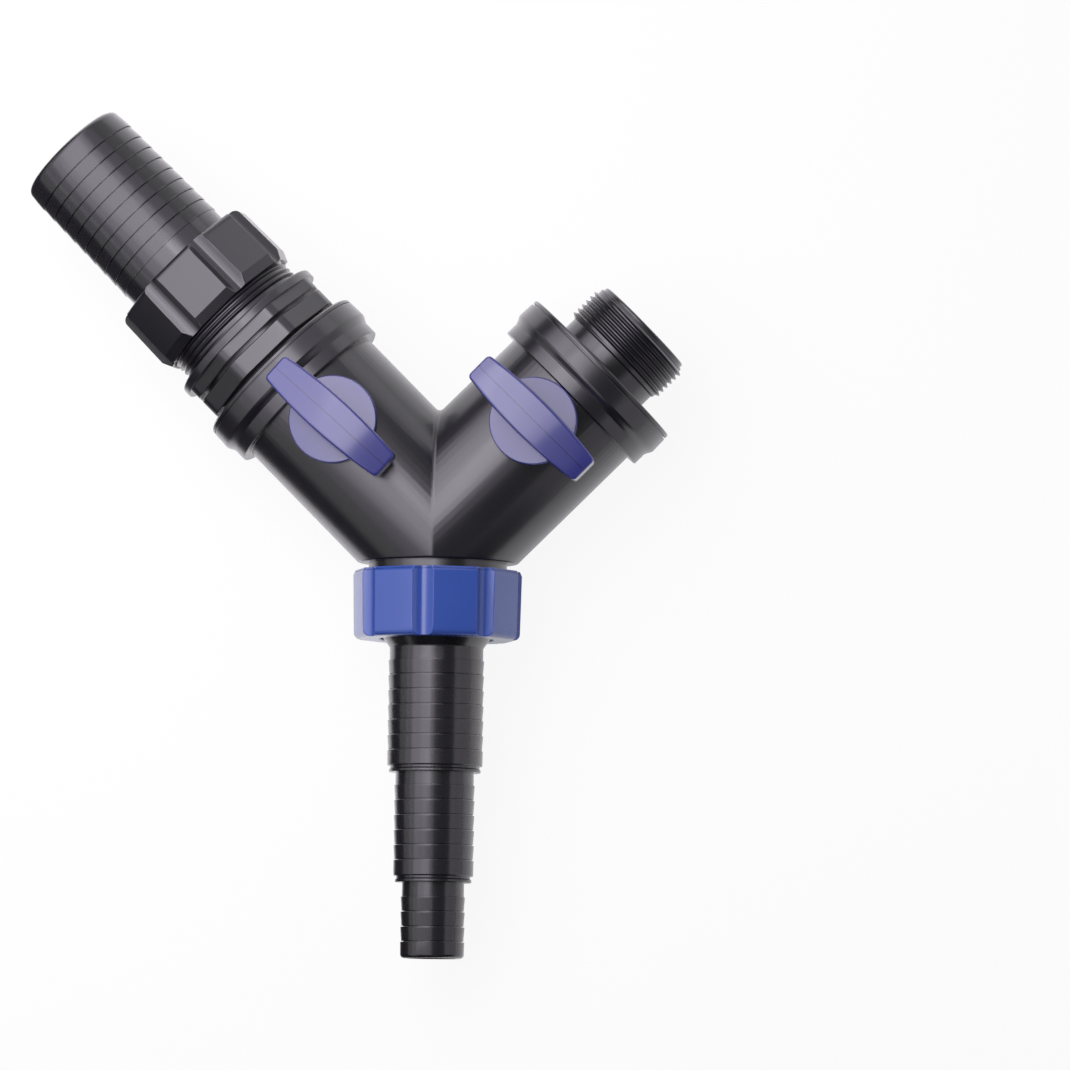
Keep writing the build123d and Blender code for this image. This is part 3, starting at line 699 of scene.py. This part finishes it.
def collar():
    """Stepped collar at the end of an arm."""
    return turned(rounded([
        (MOUTH_R, COLLAR_END), (MOUTH_R, MOUTH_AT), (CHAMBER_R, MOUTH_AT), (CHAMBER_R, FLANGE_AT - 0.7),
        (TUBE_R - 0.04, FLANGE_AT - 0.7), (TUBE_R - 0.04, FLANGE_AT, 0.25),
        (FLANGE_R, FLANGE_AT, 0.5), (FLANGE_R, SWELL_AT, 0.3), (FLANGE_R + 0.4, SWELL_AT + 0.95, 0.9),
        (RING_R - 0.35, RING_AT - 0.9, 0.9), (RING_R, RING_AT, 0.4), (RING_END_R, COLLAR_END, 0.35)]))


def lower_end():
    """Neck and G 2 thread below the foot."""
    root = THREAD_2_R - THREAD_DEPTH
    return turned(rounded([
        (STEM_BORE_R, BASE_AT - 1.2), (NECK_2_R - 0.05, BASE_AT - 1.2), (NECK_2_R, BASE_AT, 0.3),
        (NECK_2_R, NECK_2_END, 0.25), (root, NECK_2_END + 0.6, 0.2), (root, BASE_END - 0.8, 0.3),
        (root - 0.7, BASE_END, 0.2), (STEM_BORE_R, BASE_END, 0.4)]))


def y_body():
    arm_l, arm_r, stem = along((-1, 1, 0)), along((1, 1, 0)), along((0, -1, 0))
    ridge = thread_ridge(THREAD_2_R, NECK_2_END + 0.3, BASE_END - 0.2)
    shapes = [moulded_arms(), moved(collar(), arm_l), moved(collar(), arm_r), crotch_fillet(),
              moved(lower_end(), stem), moved(ridge, stem)]
    return piece("y_body_moulded", shapes, DRAWING, SATIN_BLACK, "body", ("y_body",))


y_body()
outlet()
adapter()
union_nut("left_union_nut", ADAPTER_END, TAIL_50_R + HOLE_GAP, 18.3, 4.0, 1.9,
          LEFT, SATIN_BLACK, "left_nut")
union_nut("base_union_nut", BASE_END, CONE_R + 2 * HOLE_GAP, 5.6, 1.8, 0.9,
          STEM, NUT_BLUE, "base_nut")
hose_tail_50()
stepped_tail()

for side in ("left", "right"):
    piece(f"{side}_handle_moulded", [softened(f"{side}_handle")], DRAWING, handle_blue(side),
          f"{side}_valve", (f"{side}_handle",))

CAD_FINISHES = {
    "left_outlet": SATIN_BLACK, "left_spindle": SATIN_BLACK, "right_spindle": SATIN_BLACK,
    "left_ball": BALL_BLACK, "right_ball": BALL_BLACK,
    "left_inner_seat": SEAT_WHITE, "left_outer_seat": SEAT_WHITE,
    "right_inner_seat": SEAT_WHITE, "right_outer_seat": SEAT_WHITE,
}
for name, node in frame["nodes"].items():
    if not node.hide_render:
        for place in node.material_slots:
            place.material = CAD_FINISHES.get(name, RUBBER_BLACK)


# studio

LAMP_TINT = (1.03, 0.975, 1.09)
# ways of the drawing frame in which the paper carries painted shade, seen only in reflections
PAINTED_SHADE_LEFT_WAY, PAINTED_SHADE_LOWER_RIGHT_WAY = (-0.8896, -0.4567, 0), (0.7071, -0.7071, 0)


def paper():
    """Pale matt paper, white to the camera and in reflections, that still takes the shadow, with painted
    shade in reflections to the left and lower right.
    """
    made, g = finish_graph("pale_paper_with_painted_shade")
    ray = g.node("ShaderNodeLightPath")
    seen, glossy, through = [Wire(g, ray.socket.node.outputs[kind]) for kind in (
        "Is Camera Ray", "Is Glossy Ray", "Is Transmission Ray")]
    at = g.node("ShaderNodeTexCoord", out=3)
    fibre = g.node("ShaderNodeTexNoise", {"normalize": True}, {"Vector": at, "Scale": 6.0, "Detail": 2.0})
    shade = g.mix(fibre, (0.92, 0.92, 0.92, 1), (0.94, 0.94, 0.94, 1))
    matt = g.node("ShaderNodeBsdfDiffuse", inputs={"Color": shade})
    white = g.node("ShaderNodeEmission", inputs={"Color": (1, 1, 1, 1), "Strength": 1.0})
    lit = seen * 0.91 + (glossy + through) * 0.45
    both = g.node("ShaderNodeMixShader", inputs={0: lit, 1: matt, 2: white})
    # painted shade: in glossy reflections, the paper from about 0.1 to 1 m to the left and beyond about
    # 0.35 m to the lower right turns dark grey
    left = beyond(g, at, PAINTED_SHADE_LEFT_WAY, 82, 108) - beyond(g, at, PAINTED_SHADE_LEFT_WAY, 900, 1300)
    rim = left.math("MAXIMUM", left, beyond(g, at, PAINTED_SHADE_LOWER_RIGHT_WAY, 320, 380))
    painted_shade = g.node("ShaderNodeBsdfDiffuse", inputs={"Color": (0.04, 0.04, 0.04, 1)})
    table = g.node("ShaderNodeMixShader", inputs={0: glossy * rim, 1: both, 2: painted_shade})
    g.node("ShaderNodeOutputMaterial", inputs={"Surface": table})
    return made


def beyond(g, at, way, low, high):
    """0 nearer than low, 1 farther than high, in millimetres along a way of the drawing frame."""
    turn = DRAWING.to_3x3().normalized()
    ahead = turn @ Vector(way)
    out = g.along(at, tuple(ahead)) - ahead.dot(DRAWING.to_translation())
    return out.within(low / 1000, high / 1000)


def sweep():
    """Floor that turns up into a low wall all round."""
    flat, bend, high, sides = 2.2, 0.3, 1.15, 48
    path = [(0.0, 0.0), (flat, 0.0)]
    path += [(flat + bend * sin(k * pi / 12), bend - bend * cos(k * pi / 12)) for k in range(1, 7)]
    path.append((flat + bend, high))
    points, faces = turned(path, closed=False, steps=sides)
    bm = bmesh.new()
    corners = [bm.verts.new(p) for p in points]
    for face in faces:
        bm.faces.new([corners[k] for k in face])
    bmesh.ops.remove_doubles(bm, verts=bm.verts, dist=1e-6)
    bmesh.ops.dissolve_degenerate(bm, edges=bm.edges, dist=1e-7)
    mesh = bpy.data.meshes.new("sweep")
    bm.to_mesh(mesh)
    bm.free()
    mesh.shade_smooth()
    mesh.materials.append(paper())
    made = bpy.data.objects.new("sweep", mesh)
    bpy.context.scene.collection.objects.link(made)


def softbox(name, centre, facing, long_side, size, radiance):
    """Even lamp of a width and length in millimetres, placed in the drawing frame."""
    lamp = bpy.data.lights.new(name, "AREA")
    lamp.shape, lamp.size, lamp.size_y = "RECTANGLE", size[0] / 1000, size[1] / 1000
    lamp.energy = radiance * pi * lamp.size * lamp.size_y
    lamp.color = LAMP_TINT
    back, up = -Vector(facing).normalized(), Vector(long_side).normalized()
    turn = DRAWING.to_3x3().normalized() @ Matrix((up.cross(back), up, back)).transposed()
    made = bpy.data.objects.new(name, lamp)
    made.matrix_world = Matrix.Translation(DRAWING @ Vector(centre)) @ turn.to_4x4()
    made.visible_camera = False
    bpy.context.scene.collection.objects.link(made)


def overhead(number, x, y, height, turn, width, length, radiance):
    """Flat lamp over the table, turned in its plane. Several overlap, each a little higher."""
    away = (sin(turn), cos(turn), 0)
    softbox(f"overhead_{number}", (x, y, height), (0, 0, -1), away, (width, length), radiance)


def surroundings():
    world = bpy.data.worlds.new("studio")
    bpy.context.scene.world = world
    world.use_nodes = True
    world.node_tree.nodes.clear()
    g = Graph(world.node_tree)
    glow = g.node("ShaderNodeBackground", inputs={"Color": (1, 1, 1, 1), "Strength": 0.12})
    g.node("ShaderNodeOutputWorld", inputs={"Surface": glow})


sweep()
surroundings()
overhead(1, -150, 200, 366, -0.392, 358, 694, 0.46)
overhead(2, 4, 410, 374, 0.499, 411, 992, 0.65)
overhead(3, -355, 385, 382, -0.125, 484, 1136, 1.01)
overhead(4, -570, 460, 390, -0.072, 1080, 1800, 0.67)
overhead(5, -26, 126, 398, 1.125, 261, 145, 2.25)
softbox("right_panel", (300, 276, 120), (-1, 0, 0), (0, 0, 1), (1029, 270), 0.6)


# camera, at the photograph's viewing angle

def camera():
    at = DRAWING @ Vector((241.2, -247.2, 3102.1))
    up = Vector((-0.0091, 0.9968, 0.0792))
    right = Vector((0.9978, 0.0141, -0.0640))
    turn = DRAWING.to_3x3().normalized()
    up, right = (turn @ up).normalized(), (turn @ right).normalized()
    back = right.cross(up)
    lens = bpy.data.cameras.new("camera")
    lens.sensor_width, lens.lens = 36.0, 36.0 * 7800 / 1070
    lens.clip_start, lens.clip_end = 0.05, 20.0
    made = bpy.data.objects.new("camera", lens)
    made.matrix_world = Matrix.Translation(at) @ Matrix((right, up, back)).transposed().to_4x4()
    bpy.context.scene.collection.objects.link(made)
    bpy.context.scene.camera = made


camera()
bpy.context.scene.view_settings.view_transform = "Standard"
